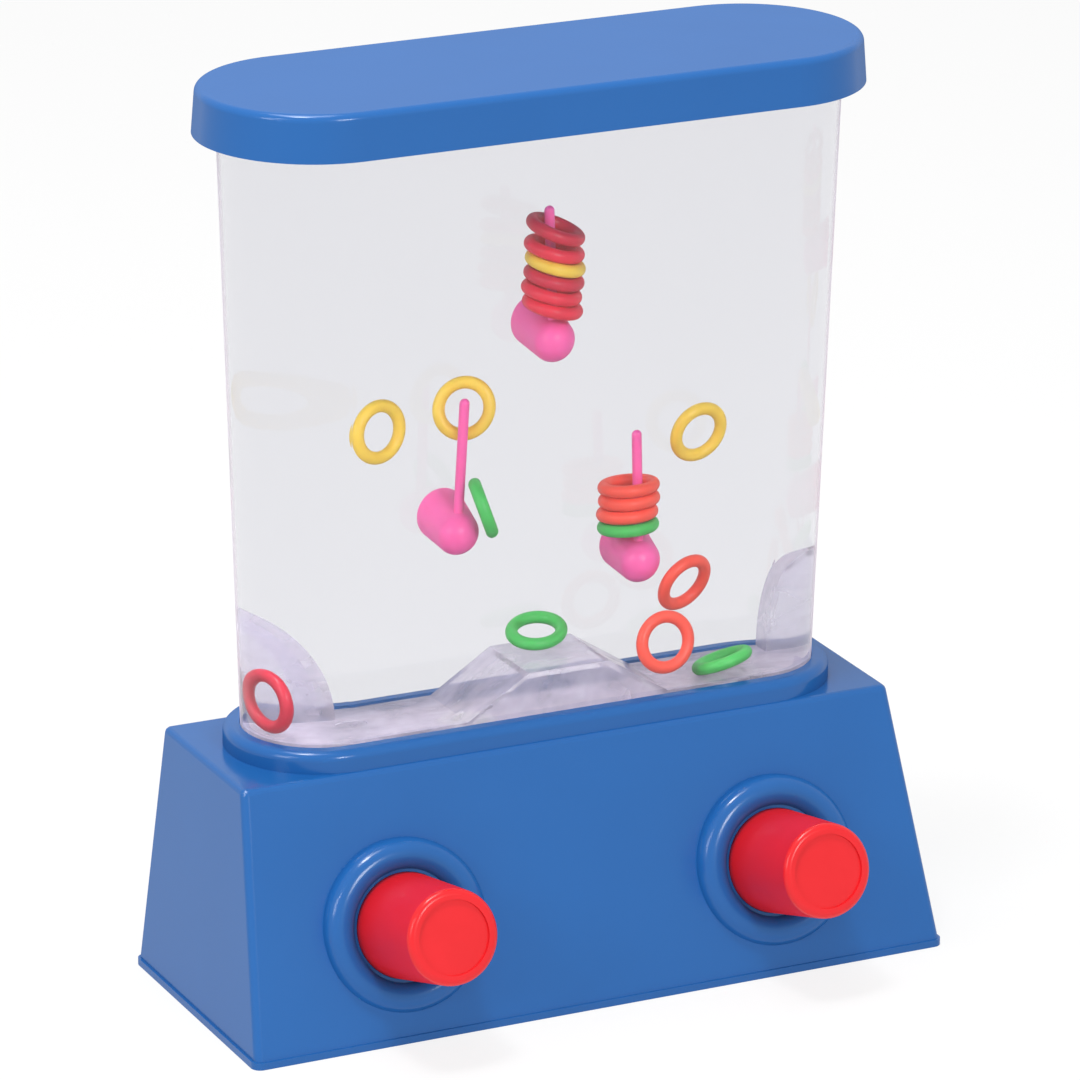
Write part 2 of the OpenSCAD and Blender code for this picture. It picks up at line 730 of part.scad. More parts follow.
module pump_barrel(side) {
  color(white_plastic) difference() {
    union() {
      at_button(side) {
        translate([0, 0, pump_end_z]) cylinder(h = pump_mouth_z - pump_end_z, r = pump_r);
        translate([0, 0, pump_flange_z]) cylinder(h = pump_flange_t, r = pump_flange_r);
        translate([-ear_x, -ear_r, pump_flange_z]) cube([2 * ear_x, 2 * ear_r, pump_flange_t]);
        for (s = [-1, 1])
          translate([s * ear_x, 0, pump_flange_z]) cylinder(h = pump_flange_t, r = ear_r);
      }
      translate([side * button_x, 0, riser_x_z]) cylinder(h = riser_shoulder_z - riser_x_z, r = riser_r);
      translate([side * button_x, 0, riser_x_z]) cylinder(h = barb_top_z - riser_x_z, r = barb_r);
    }
    at_button(side) {
      translate([0, 0, pump_end_z + pump_end_wall])
        cylinder(h = pump_mouth_z - pump_end_z, r = pump_bore_r);
      for (s = [-1, 1])
        translate([s * ear_x, 0, pump_flange_z - 1])
          cylinder(h = pump_flange_t + 2, r = pump_screw_r + 0.15);
      for (a = [45:90:315])
        rotate([0, 0, a]) translate([vent_at, 0, pump_flange_z - 1])
          cylinder(h = pump_flange_t + 2, r = vent_r);
    }
    translate([side * button_x, 0, riser_x_z]) cylinder(h = barb_top_z - riser_x_z + 1, r = riser_bore_r);
  }
}

module pump_barrel_left() pump_barrel(-1);
module pump_barrel_right() pump_barrel(1);

module button(side) {
  edge = button_edge_r;
  top = button_out;
  color(button_red) at_button(side) difference() {
    union() {
      rotate_extrude() {
        polygon([[0, flange_back_z], [button_r, flange_back_z], [button_r, 1],
          [button_front_r, top - edge], [0, top - edge]]);
        translate([0, top - edge - eps]) square([button_front_r - edge, edge + eps]);
        translate([button_front_r - edge, top - edge]) circle(edge);
      }
      translate([0, 0, flange_back_z]) cylinder(h = flange_t, r = flange_r);
    }
    difference() {
      union() {
        translate([0, 0, flange_back_z - 1])
          cylinder(h = button_step_z - flange_back_z + 1, r = button_inner_r);
        translate([0, 0, button_step_z - eps])
          cylinder(h = top - button_front_wall - button_step_z + eps, r = button_nose_r);
      }
      translate([0, 0, stem_socket_z]) cylinder(h = top - stem_socket_z, r = stem_socket_r);
    }
    translate([0, 0, stem_socket_z - 1])
      cylinder(h = top - button_front_wall - stem_socket_z + 1, r = stem_r + seat_fit / 2);
    translate([0, 0, top - face_dish]) cylinder(h = 2, r = button_front_r - face_rim);
  }
}

module button_left() button(-1);
module button_right() button(1);

module plunger(side) {
  stem_top = button_out - button_front_wall - seat_fit;
  color(white_plastic) at_button(side) difference() {
    union() {
      translate([0, 0, head_z + head_t - eps]) cylinder(h = stem_top - head_z - head_t + eps, r = stem_r);
      translate([0, 0, head_z]) cylinder(h = head_t, r = head_r);
    }
    difference() {
      translate([0, 0, groove_z]) cylinder(h = groove_t, r = head_r + 1);
      translate([0, 0, groove_z - 1]) cylinder(h = groove_t + 2, r = groove_r);
    }
  }
}

module plunger_left() plunger(-1);
module plunger_right() plunger(1);

module plunger_seal(side) {
  inner = groove_r + seat_fit / 2;
  outer = pump_bore_r - seal_fit;
  color(rubber_black) at_button(side)
    translate([0, 0, groove_z + seat_fit / 2]) difference() {
      cylinder(h = groove_t - seat_fit, r = outer);
      translate([0, 0, -1]) cylinder(h = groove_t + 2, r = inner);
    }
}

module plunger_seal_left() plunger_seal(-1);
module plunger_seal_right() plunger_seal(1);

// A point on the spring's wire: t counts curls from the bottom, a goes round the wire
function wire_point(t, a) =
  let (rise = (spring_top_z - spring_bottom_z) / spring_curls)
  let (climb = atan(rise / (2 * PI * spring_r)))
  let (out = wire_r * cos(a), side = wire_r * sin(a), turn = 360 * t)
  [(spring_r + out) * cos(turn) + side * sin(climb) * sin(turn),
   (spring_r + out) * sin(turn) - side * sin(climb) * cos(turn),
   spring_bottom_z + rise * t + side * cos(climb)];

module return_spring(side) {
  count = spring_curls * rings_a_curl;
  n = wire_sides;
  points = [for (i = [0:count]) for (j = [0:n - 1]) wire_point(i / rings_a_curl, 360 * j / n)];
  walls = [for (i = [0:count - 1]) for (j = [0:n - 1])
    let (a = i * n + j, b = i * n + (j + 1) % n)
    each [[a, b, b + n], [a, b + n, a + n]]];
  caps = [for (j = [1:n - 2]) each [[0, j + 1, j], [count * n, count * n + j, count * n + j + 1]]];
  color(steel) at_button(side) polyhedron(points, concat(walls, caps));
}

module return_spring_left() return_spring(-1);
module return_spring_right() return_spring(1);

// Least gap of the spring to itself, measured between points on neighbouring curls
spring_gap = min([for (j = [0:wire_sides - 1]) for (k = [0:wire_sides - 1])
  norm(wire_point(1, 360 * j / wire_sides) - wire_point(2, 360 * k / wire_sides))]);
echo(spring_least_gap = spring_gap);

// A peg: a boss from the back wall with a domed front, and a rod standing on it
module peg(x, z, lean) {
  reach = bore_r(z) - rod_y;
  color(peg_pink) difference() {
    translate([x, rod_y, z]) {
      translate([0, -2 * eps, 0]) rotate([boss_slope - 90, 0, 0]) rotate_extrude() {
        polygon([[0, 0], [boss_front_r, 0], [boss_back_r, reach], [boss_back_r, reach + 2], [0, reach + 2]]);
        intersection() {
          circle(boss_front_r);
          translate([0, -boss_front_r]) square(boss_front_r);
        }
      }
      rotate([0, lean, 0]) {
        cylinder(h = rod_h - rod_r, r = rod_r);
        translate([0, 0, rod_h - rod_r]) sphere(rod_r);
      }
    }
    translate([x, bore_r(z) - seat_fit / 2, z]) rotate([-tank_draft, 0, 0])
      translate([-tank_d, 0, -tank_d]) cube(2 * tank_d);
  }
}

module peg_top() peg(peg_x, peg_top_z, top_rod_lean);
module peg_left() peg(peg_left_x, peg_left_z, left_rod_lean);
module peg_right() peg(peg_right_x, peg_right_z, right_rod_lean);

// A ring with its middle at place; lean tips its axis from upright towards the compass angle
module ring(place, lean, towards) {
  translate(place) rotate([0, lean, towards]) rotate_extrude() translate([ring_centre_r, 0]) circle(ring_r);
}

// The rings on the top peg lean to the right and forward, one over another
top_stack_lift = 1.1;
top_stack_z = peg_top_z + boss_front_r + ring_r + top_stack_lift;
top_step = ring_pitch + 0.1;
module top_ring(i, lean, x, shade) {
  color(shade) ring([peg_x + x, rod_y, top_stack_z + (i - 1) * top_step], lean, -25);
}

module top_ring_1() top_ring(1, 17, -0.2, ring_red);
module top_ring_2() top_ring(2, 17, -0.4, ring_red);
module top_ring_3() top_ring(3, 17, 0, ring_dark_red);
module top_ring_4() top_ring(4, 18, 0.2, ring_yellow);
module top_ring_5() top_ring(5, 18, 0, ring_red);
module top_ring_6() top_ring(6.35, 24, 0.2, ring_dark_red);

// The rings on the right peg lie flat, one over another, off the rod's middle
ring_play = ring_centre_r - ring_r - rod_r;
right_stack_x = -0.766 * ring_play;
right_stack_y = 0.298 * ring_play;
right_stack_z = peg_right_z + boss_top(ring_centre_r + right_stack_y)
  + (ring_r + stack_gap) * norm([1, boss_climb]);
module right_ring(i, x, shade) {
  color(shade) ring([peg_right_x + right_stack_x + x, rod_y + right_stack_y,
    right_stack_z + (i - 1) * ring_pitch], 0, 0);
}

module right_ring_1() right_ring(1, 0, ring_green);
module right_ring_2() right_ring(2, -0.085 * ring_play, ring_orange);
module right_ring_3() right_ring(3, 0.043 * ring_play, ring_orange);
module right_ring_4() right_ring(4, 0, ring_orange);

// Half the height, depth and width that a leaning ring takes up
function half_height(lean) = ring_centre_r * abs(sin(lean)) + ring_r;
function half_depth(lean, towards) = ring_centre_r * norm([cos(lean), sin(lean) * cos(towards)]) + ring_r;
function half_width(lean, towards) = ring_centre_r * norm([cos(lean), sin(lean) * sin(towards)]) + ring_r;

module yellow_ring_left()
  color(ring_yellow) ring([peg_left_x - 15, -1, valley_z + 48.8], 88, -71);

module yellow_ring_middle() {
  rod_gap = 0.5;
  y = rod_y + half_depth(77, -109) + rod_gap;
  color(ring_yellow) ring([peg_left_x + 2.1, y, peg_left_z + 20], 77, -109);
}

module yellow_ring_right() {
  wall_gap = 2.05;
  z = valley_z + 39;
  y = bore_r(z) - wall_gap - half_depth(105, -81);
  color(ring_yellow) ring([peg_right_x + 12, y, z], 105, -81);
}

module orange_ring_upper()
  color(ring_orange) ring([peg_right_x + 7.8, 1.5, valley_z + 15], 114, -70);

module orange_ring_lower() {
  wall_gap = 1.4;
  z = valley_z + half_height(78) + 2.4;
  y = -(bore_r(z) - wall_gap - half_depth(78, -86));
  color(ring_orange) ring([peg_right_x + 1.4, y, z], 78, -86);
}

module green_ring_leaning() {
  x = peg_left_x + rod_r + half_width(70, -13);
  z = peg_left_z + half_height(70) - 0.74;
  color(ring_green) ring([x, 0, z], 70, -13);
}

module green_ring_hill() {
  wall_gap = 0.36;
  y = bore_r(valley_z + hill_h) - wall_gap - half_depth(18, -100);
  color(ring_green) ring([hill_x - 0.6, y, valley_z + hill_h + half_height(18) + 0.44], 18, -100);
}

module green_ring_valley() {
  wall_gap = 0.2;
  y = -(bore_r(valley_z) - wall_gap - half_depth(15, 145));
  z = valley_z + half_height(15) + stack_gap;
  color(ring_green) ring([button_x - 1.9, y, z], 15, 145);
}

module red_ring_corner() {
  towards = -172;
  mound_gap = 0.24;
  wall_gap = 0.26;
  y = mound_front - mound_gap - half_depth(93, towards);
  limit = bore_r(valley_z) - wall_gap - ring_r;
  front_reach = y + ring_centre_r * cos(towards);
  back_reach = y - ring_centre_r * cos(towards);
  skew = ring_centre_r * abs(sin(towards));
  front_room = sqrt(pow(limit, 2) - pow(front_reach, 2)) + skew;
  back_room = sqrt(pow(limit, 2) - pow(back_reach, 2)) - skew;
  out = min(front_room, back_room);
  color(ring_red) ring([-track_half - out, y, valley_z + half_height(93) + 0.3], 93, towards);
}

base_housing();
bottom_cover();
cover_screws();
pump_screws();
tank();
tank_seal();
lid();
lid_gasket();
ramp_insert();
filler_neck();
filler_plug();
jet_nozzle_left();
jet_nozzle_right();
jet_tube_left();
jet_tube_right();
pump_barrel_left();
pump_barrel_right();
button_left();
button_right();
plunger_left();
plunger_right();
plunger_seal_left();
plunger_seal_right();
return_spring_left();
return_spring_right();
peg_top();
peg_left();
peg_right();
top_ring_1();
top_ring_2();
top_ring_3();
top_ring_4();
top_ring_5();
top_ring_6();
right_ring_1();
right_ring_2();
right_ring_3();
right_ring_4();
yellow_ring_left();
yellow_ring_middle();
yellow_ring_right();
orange_ring_upper();
orange_ring_lower();
green_ring_hill();
green_ring_valley();
green_ring_leaning();
red_ring_corner();
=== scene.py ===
"""Looks, water, light and camera of a handheld water game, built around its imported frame."""

import logging
import math
from abc import ABC, abstractmethod
from dataclasses import dataclass, field
from enum import Enum

import bmesh
import bpy
from mathutils import Matrix, Vector


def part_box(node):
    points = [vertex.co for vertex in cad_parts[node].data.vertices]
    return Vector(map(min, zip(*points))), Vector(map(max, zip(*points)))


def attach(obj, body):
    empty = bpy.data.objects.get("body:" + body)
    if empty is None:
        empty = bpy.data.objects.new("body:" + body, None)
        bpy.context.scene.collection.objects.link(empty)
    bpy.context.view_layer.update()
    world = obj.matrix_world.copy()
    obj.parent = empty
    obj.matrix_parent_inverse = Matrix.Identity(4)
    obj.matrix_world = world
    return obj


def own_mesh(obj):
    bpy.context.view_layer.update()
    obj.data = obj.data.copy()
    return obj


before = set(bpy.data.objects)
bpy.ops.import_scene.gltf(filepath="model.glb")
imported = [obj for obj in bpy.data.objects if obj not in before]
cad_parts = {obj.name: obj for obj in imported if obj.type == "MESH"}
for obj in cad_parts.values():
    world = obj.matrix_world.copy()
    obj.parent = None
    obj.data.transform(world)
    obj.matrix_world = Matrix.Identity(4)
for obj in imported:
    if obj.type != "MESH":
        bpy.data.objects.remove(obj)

Tree = bpy.types.NodeTree
Socket = bpy.types.NodeSocket

LOG = logging.getLogger("water_game")
MM = 0.001
# A wave texture turns by this many radians for each unit of its scaled place
WAVE_TURN = 20
# Sight goes straight on through clear pieces after this many mirrorings or crossings
MOST_MIRRORINGS = 1
MOST_CROSSINGS = 7


# Shared helpers


def srgb(code: str) -> tuple[float, float, float, float]:
    """Turns an sRGB hex colour into Blender's linear one.

    Args:
        code: The colour, such as "#3d6bb8".

    Returns:
        Linear red, green, blue and an alpha of 1.
    """
    values = [int(code[i : i + 2], 16) / 255 for i in (1, 3, 5)]
    linear = [v / 12.92 if v <= 0.04045 else ((v + 0.055) / 1.055) ** 2.4 for v in values]
    return (linear[0], linear[1], linear[2], 1.0)


def add_node(
    tree: Tree,
    kind: str,
    inputs: dict[str | int, object] | None = None,
    **settings: object,
) -> bpy.types.Node:
    """Adds one shader node.

    Args:
        tree: The node tree that it goes into.
        kind: The node's type, such as "ShaderNodeBump".
        inputs: A value, or an output socket to link, for each input's name or number.
        settings: Values for the node's own properties.

    Returns:
        The new node.
    """
    node = tree.nodes.new(kind)
    for name, value in settings.items():
        setattr(node, name, value)
    for key, value in (inputs or {}).items():
        if isinstance(value, Socket):
            tree.links.new(value, node.inputs[key])
        else:
            node.inputs[key].default_value = value
    return node


def per_metre(size_mm: float) -> float:
    """Returns a texture scale whose features are about size_mm across."""
    return 1.0 / (size_mm * MM)


def new_mesh_object(
    name: str, build: bmesh.types.BMesh, smooth_under: float = 30.0
) -> bpy.types.Object:
    """Makes a scene object from a bmesh, and frees the bmesh.

    Args:
        name: The object's name.
        build: The mesh, in metres, in the row frame.
        smooth_under: Edges that turn by less than this many degrees are shaded smooth.

    Returns:
        The linked object.
    """
    bmesh.ops.recalc_face_normals(build, faces=build.faces)
    mesh = bpy.data.meshes.new(name)
    build.to_mesh(mesh)
    build.free()
    mesh.polygons.foreach_set("use_smooth", [True] * len(mesh.polygons))
    mesh.set_sharp_from_angle(angle=math.radians(smooth_under))
    piece = bpy.data.objects.new(name, mesh)
    bpy.context.scene.collection.objects.link(piece)
    return piece


# Finishes


class Finish(ABC):
    """A real material and the way its surface was made."""

    name: str

    def material(self) -> bpy.types.Material:
        """Makes the Blender material, on first use.

        Returns:
            The material, which every piece in this finish shares.
        """
        found = bpy.data.materials.get(self.name)
        if found is not None:
            return found
        made = bpy.data.materials.new(self.name)
        made.use_nodes = True
        made.node_tree.nodes.clear()
        self.wire(made.node_tree)
        return made

    @abstractmethod
    def wire(self, tree: Tree) -> None:
        """Adds the finish's nodes to an empty tree."""


@dataclass(frozen=True)
class MouldedPlastic(Finish):
    """Injection-moulded plastic: a polished steel mould leaves gloss, with faint flow and orange
    peel.
    """

    name: str
    base: str
    shade: str
    roughness: float = 0.22
    ior: float = 1.45
    most_gloss: float = 0.12
    body_roughness: float = 0.6
    flow_mm: float = 26.0
    smear_mm: float = 9.0
    least_dull: float = 0.92
    most_dull: float = 1.12
    peel_mm: float = 1.4
    peel_depth_mm: float = 0.0015
    glow: float = 0.0
    glow_mm: float = 1.2
    glow_radii: tuple[float, float, float] = (1.0, 0.7, 0.6)

    def wire(self, tree: Tree) -> None:
        """Adds the plastic's colour flow, handling smears, orange peel and gloss.

        Args:
            tree: The material's empty node tree.
        """
        place = add_node(tree, "ShaderNodeTexCoord").outputs["Object"]
        # Pigment flow: bands some 26 mm wide where the melt ran, a shade apart
        flow = add_node(
            tree,
            "ShaderNodeTexNoise",
            {"Vector": place, "Scale": per_metre(self.flow_mm), "Detail": 3.0, "Distortion": 0.6},
        )
        colour = add_node(
            tree,
            "ShaderNodeMix",
            {0: flow.outputs["Fac"], 6: srgb(self.base), 7: srgb(self.shade)},
            data_type="RGBA",
        )
        # Handling smears: soft patches 9 mm across that dull the gloss
        smear = add_node(
            tree,
            "ShaderNodeTexNoise",
            {"Vector": place, "Scale": per_metre(self.smear_mm), "Detail": 5.0, "Roughness": 0.6},
        )
        dull = add_node(
            tree,
            "ShaderNodeMapRange",
            {
                "Value": smear.outputs["Fac"],
                "From Min": 0.35,
                "From Max": 0.7,
                "To Min": self.roughness * self.least_dull,
                "To Max": self.roughness * self.most_dull,
            },
        )
        # Orange peel: real peel is near 0.3 mm, drawn at 1.4 mm so that it shows
        peel = add_node(
            tree,
            "ShaderNodeTexNoise",
            {"Vector": place, "Scale": per_metre(self.peel_mm), "Detail": 2.0},
        )
        bump = add_node(
            tree,
            "ShaderNodeBump",
            {
                "Height": peel.outputs["Fac"],
                "Distance": self.peel_depth_mm * MM,
                "Strength": 0.8,
            },
        )
        body = add_node(
            tree,
            "ShaderNodeBsdfPrincipled",
            {
                "Base Color": colour.outputs["Result"],
                "Roughness": self.body_roughness,
                "Specular IOR Level": 0.0,
                "Normal": bump.outputs["Normal"],
                "Subsurface Weight": self.glow,
                "Subsurface Scale": self.glow_mm * MM,
                "Subsurface Radius": self.glow_radii,
            },
        )
        # Worn gloss: grazing sight meets fine scratches, so the mirror share stops growing there
        mirror = add_node(
            tree,
            "ShaderNodeBsdfAnisotropic",
            {"Roughness": dull.outputs["Result"], "Normal": bump.outputs["Normal"]},
        )
        facing = add_node(
            tree, "ShaderNodeFresnel", {"IOR": self.ior, "Normal": bump.outputs["Normal"]}
        )
        share = add_node(
            tree,
            "ShaderNodeMath",
            {0: facing.outputs["Fac"], 1: self.most_gloss},
            operation="MINIMUM",
        )
        both = add_node(
            tree,
            "ShaderNodeMixShader",
            {0: share.outputs["Value"], 1: body.outputs["BSDF"], 2: mirror.outputs["BSDF"]},
        )
        add_node(tree, "ShaderNodeOutputMaterial", {"Surface": both.outputs["Shader"]})


@dataclass(frozen=True)
class ClearSolid(Finish):
    """A clear solid that lets lamps reach what it holds, such as polystyrene or water."""

    name: str
    tint: str
    ior: float
    roughness: float = 0.0
    wave_mm: float = 14.0
    wave_depth_mm: float = 0.0
    milk: float = 0.0
    milk_tint: str = "#ffffff"
    cloud_mm: float = 6.0
    thin_cloud: float = 0.6
    thick_cloud: float = 1.4

    def bend(self, tree: Tree) -> float | Socket:
        """Returns the index of refraction, which is one value all over."""
        return self.ior

    def haze_share(self, tree: Tree) -> Socket:
        """Adds milky clouds, about 6 mm across.

        Args:
            tree: The material's node tree.

        Returns:
            The socket that tells how much of the surface is haze.
        """
        place = add_node(tree, "ShaderNodeTexCoord").outputs["Object"]
        cloud = add_node(
            tree,
            "ShaderNodeTexNoise",
            {"Vector": place, "Scale": per_metre(self.cloud_mm), "Detail": 3.0},
        )
        share = add_node(
            tree,
            "ShaderNodeMapRange",
            {
                "Value": cloud.outputs["Fac"],
                "From Min": 0.3,
                "From Max": 0.7,
                "To Min": self.milk * self.thin_cloud,
                "To Max": self.milk * self.thick_cloud,
            },
        )
        return share.outputs["Result"]

    def clouded(self, tree: Tree, glass: Socket) -> Socket:
        """Adds the haze, half of which scatters light back and half of it onward.

        Args:
            tree: The material's node tree.
            glass: The clear shader's socket.

        Returns:
            The socket of the glass with its share of haze, or the glass alone.
        """
        if self.milk <= 0:
            return glass
        lit = add_node(tree, "ShaderNodeBsdfDiffuse", {"Color": srgb(self.milk_tint)})
        through = add_node(tree, "ShaderNodeBsdfTranslucent", {"Color": srgb(self.milk_tint)})
        haze = add_node(
            tree,
            "ShaderNodeMixShader",
            {0: 0.5, 1: lit.outputs["BSDF"], 2: through.outputs["BSDF"]},
        )
        mixed = add_node(
            tree,
            "ShaderNodeMixShader",
            {0: self.haze_share(tree), 1: glass, 2: haze.outputs["Shader"]},
        )
        return mixed.outputs["Shader"]

    def wire(self, tree: Tree) -> None:
        """Adds glass that bends sight and lets rays to the lamps straight through.

        Args:
            tree: The material's empty node tree.
        """
        glass_inputs: dict[str | int, object] = {
            "Base Color": srgb(self.tint),
            "Transmission Weight": 1.0,
            "Roughness": self.roughness,
            "IOR": self.bend(tree),
        }
        if self.wave_depth_mm > 0:
            # Moulding ripple: shallow waves, 14 mm long in the wall and 5 mm in the insert
            place = add_node(tree, "ShaderNodeTexCoord").outputs["Object"]
            wave = add_node(
                tree,
                "ShaderNodeTexNoise",
                {"Vector": place, "Scale": per_metre(self.wave_mm), "Detail": 1.0},
            )
            bump = add_node(
                tree,
                "ShaderNodeBump",
                {
                    "Height": wave.outputs["Fac"],
                    "Distance": self.wave_depth_mm * MM,
                    "Strength": 1.0,
                },
            )
            glass_inputs["Normal"] = bump.outputs["Normal"]
        glass = add_node(tree, "ShaderNodeBsdfPrincipled", glass_inputs)
        body = self.clouded(tree, glass.outputs["BSDF"])
        passing = add_node(tree, "ShaderNodeBsdfTransparent", {"Color": (1, 1, 1, 1)})
        path = add_node(tree, "ShaderNodeLightPath")
        straight_on = path.outputs["Is Shadow Ray"]
        # Sight that keeps bouncing or crossing inside goes straight on, or thick ends turn black
        for count, most in (("Glossy Depth", MOST_MIRRORINGS), ("Ray Depth", MOST_CROSSINGS)):
            past = add_node(
                tree, "ShaderNodeMath", {0: path.outputs[count], 1: most}, operation="GREATER_THAN"
            )
            either = add_node(
                tree,
                "ShaderNodeMath",
                {0: straight_on, 1: past.outputs["Value"]},
                operation="MAXIMUM",
            )
            straight_on = either.outputs["Value"]
        surface = add_node(
            tree, "ShaderNodeMixShader", {0: straight_on, 1: body, 2: passing.outputs["BSDF"]}
        )
        add_node(tree, "ShaderNodeOutputMaterial", {"Surface": surface.outputs["Shader"]})


@dataclass(frozen=True)
class WettedWall(ClearSolid):
    """A clear wall with air outside and water inside, so that each face bends sight its own way.

    Sight leaves the wall's inner face for water, not air, and the index there is the plastic's
    over the water's. The faces are told apart by their distance from the tank's middle line.
    Only the floor is frosted, as the mould's gate leaves it, and a painted reflection turns the
    wall pale where sight grazes it, along the outline.
    """

    wet_ior: float = 1.5 / 1.33
    straight: float = 0.0
    middle_radius: float = 0.0
    flare: float = 0.0
    floor_height: float = 0.0
    frost_margin: float = 1.0 * MM
    graze_start: float = 0.7
    graze_full: float = 0.86
    painted_rim_haze: float = 0.7

    def haze_share(self, tree: Tree) -> Socket:
        """Adds the floor's frost and the painted reflection, a pale line along the outline.

        Args:
            tree: The material's node tree.

        Returns:
            The socket that tells how much of the surface is haze.
        """
        clouds = super().haze_share(tree)
        place = add_node(tree, "ShaderNodeTexCoord").outputs["Object"]
        axes = add_node(tree, "ShaderNodeSeparateXYZ", {"Vector": place})
        below = add_node(
            tree,
            "ShaderNodeMath",
            {0: axes.outputs["Z"], 1: self.floor_height + self.frost_margin},
            operation="LESS_THAN",
        )
        frost = add_node(
            tree, "ShaderNodeMath", {0: clouds, 1: below.outputs["Value"]}, operation="MULTIPLY"
        )
        # Painted reflection: the wall is hazed pale where sight grazes it, along the tank's
        # outline
        turned = add_node(tree, "ShaderNodeLayerWeight", {"Blend": 0.5})
        painted_rim = add_node(
            tree,
            "ShaderNodeMapRange",
            {
                "Value": turned.outputs["Facing"],
                "From Min": self.graze_start,
                "From Max": self.graze_full,
                "To Min": 0.0,
                "To Max": self.painted_rim_haze,
            },
        )
        share = add_node(
            tree,
            "ShaderNodeMath",
            {0: frost.outputs["Value"], 1: painted_rim.outputs["Result"]},
            operation="MAXIMUM",
        )
        return share.outputs["Value"]

    def bend(self, tree: Tree) -> float | Socket:
        """Tells the wet inner faces from the dry outer ones by their place.

        Args:
            tree: The material's node tree.

        Returns:
            The socket with the wet index on the inner faces and the dry one elsewhere.
        """
        place = add_node(tree, "ShaderNodeTexCoord").outputs["Object"]
        axes = add_node(tree, "ShaderNodeSeparateXYZ", {"Vector": place})
        along = add_node(tree, "ShaderNodeMath", {0: axes.outputs["X"]}, operation="ABSOLUTE")
        past = add_node(
            tree,
            "ShaderNodeMath",
            {0: along.outputs["Value"], 1: self.straight},
            operation="SUBTRACT",
        )
        end = add_node(
            tree, "ShaderNodeMath", {0: past.outputs["Value"], 1: 0.0}, operation="MAXIMUM"
        )
        flat = add_node(
            tree, "ShaderNodeCombineXYZ", {"X": end.outputs["Value"], "Y": axes.outputs["Y"]}
        )
        away = add_node(
            tree, "ShaderNodeVectorMath", {0: flat.outputs["Vector"]}, operation="LENGTH"
        )
        limit = add_node(
            tree,
            "ShaderNodeMath",
            {0: axes.outputs["Z"], 1: self.flare, 2: self.middle_radius},
            operation="MULTIPLY_ADD",
        )
        inner = add_node(
            tree,
            "ShaderNodeMath",
            {0: away.outputs["Value"], 1: limit.outputs["Value"]},
            operation="LESS_THAN",
        )
        above = add_node(
            tree,
            "ShaderNodeMath",
            {0: axes.outputs["Z"], 1: self.floor_height},
            operation="GREATER_THAN",
        )
        wet = add_node(
            tree,
            "ShaderNodeMath",
            {0: inner.outputs["Value"], 1: above.outputs["Value"]},
            operation="MULTIPLY",
        )
        index = add_node(
            tree,
            "ShaderNodeMath",
            {0: wet.outputs["Value"], 1: self.wet_ior - self.ior, 2: self.ior},
            operation="MULTIPLY_ADD",
        )
        return index.outputs["Value"]


@dataclass(frozen=True)
class MouldedRubber(Finish):
    """Moulded rubber: matt, with a fine bloom."""

    name: str
    base: str
    bloom: str
    roughness: float = 0.62
    bloom_mm: float = 3.0
    grain_mm: float = 0.6
    grain_depth_mm: float = 0.01

    def wire(self, tree: Tree) -> None:
        """Adds a bloom of 3 mm patches and a 0.6 mm grain.

        Args:
            tree: The material's empty node tree.
        """
        place = add_node(tree, "ShaderNodeTexCoord").outputs["Object"]
        patch = add_node(
            tree,
            "ShaderNodeTexNoise",
            {"Vector": place, "Scale": per_metre(self.bloom_mm), "Detail": 4.0},
        )
        colour = add_node(
            tree,
            "ShaderNodeMix",
            {0: patch.outputs["Fac"], 6: srgb(self.base), 7: srgb(self.bloom)},
            data_type="RGBA",
        )
        grain = add_node(
            tree,
            "ShaderNodeTexNoise",
            {"Vector": place, "Scale": per_metre(self.grain_mm), "Detail": 2.0},
        )
        bump = add_node(
            tree,
            "ShaderNodeBump",
            {
                "Height": grain.outputs["Fac"],
                "Distance": self.grain_depth_mm * MM,
                "Strength": 0.6,
            },
        )
        shader = add_node(
            tree,
            "ShaderNodeBsdfPrincipled",
            {
                "Base Color": colour.outputs["Result"],
                "Roughness": self.roughness,
                "Normal": bump.outputs["Normal"],
            },
        )
        add_node(tree, "ShaderNodeOutputMaterial", {"Surface": shader.outputs["BSDF"]})


@dataclass(frozen=True)
class PlatedSteel(Finish):
    """Bright zinc-plated steel wire and screws, drawn and turned."""

    name: str
    base: str
    roughness: float = 0.3
    cloud_mm: float = 1.5
    least_dull: float = 0.7
    most_dull: float = 1.4
    mark_mm: float = 1.5708
    mark_depth_mm: float = 0.004

    def wire(self, tree: Tree) -> None:
        """Adds cloudy plating of 1.5 mm patches, and turning marks.

        Args:
            tree: The material's empty node tree.
        """
        place = add_node(tree, "ShaderNodeTexCoord").outputs["Object"]
        cloud = add_node(
            tree,
            "ShaderNodeTexNoise",
            {"Vector": place, "Scale": per_metre(self.cloud_mm), "Detail": 3.0},
        )
        dull = add_node(
            tree,
            "ShaderNodeMapRange",
            {
                "Value": cloud.outputs["Fac"],
                "To Min": self.roughness * self.least_dull,
                "To Max": self.roughness * self.most_dull,
            },
        )
        # Turning marks: real ones are near 0.1 mm apart, drawn 1.6 mm apart so that they show
        marks = add_node(
            tree,
            "ShaderNodeTexWave",
            {
                "Vector": place,
                "Scale": per_metre(self.mark_mm) * 2 * math.pi / WAVE_TURN,
                "Distortion": 1.5,
            },
            bands_direction="Z",
        )
        bump = add_node(
            tree,
            "ShaderNodeBump",
            {
                "Height": marks.outputs["Fac"],
                "Distance": self.mark_depth_mm * MM,
                "Strength": 0.5,
            },
        )
        shader = add_node(
            tree,
            "ShaderNodeBsdfPrincipled",
            {
                "Base Color": srgb(self.base),
                "Metallic": 1.0,
                "Roughness": dull.outputs["Result"],
                "Normal": bump.outputs["Normal"],
            },
        )
        add_node(tree, "ShaderNodeOutputMaterial", {"Surface": shader.outputs["BSDF"]})


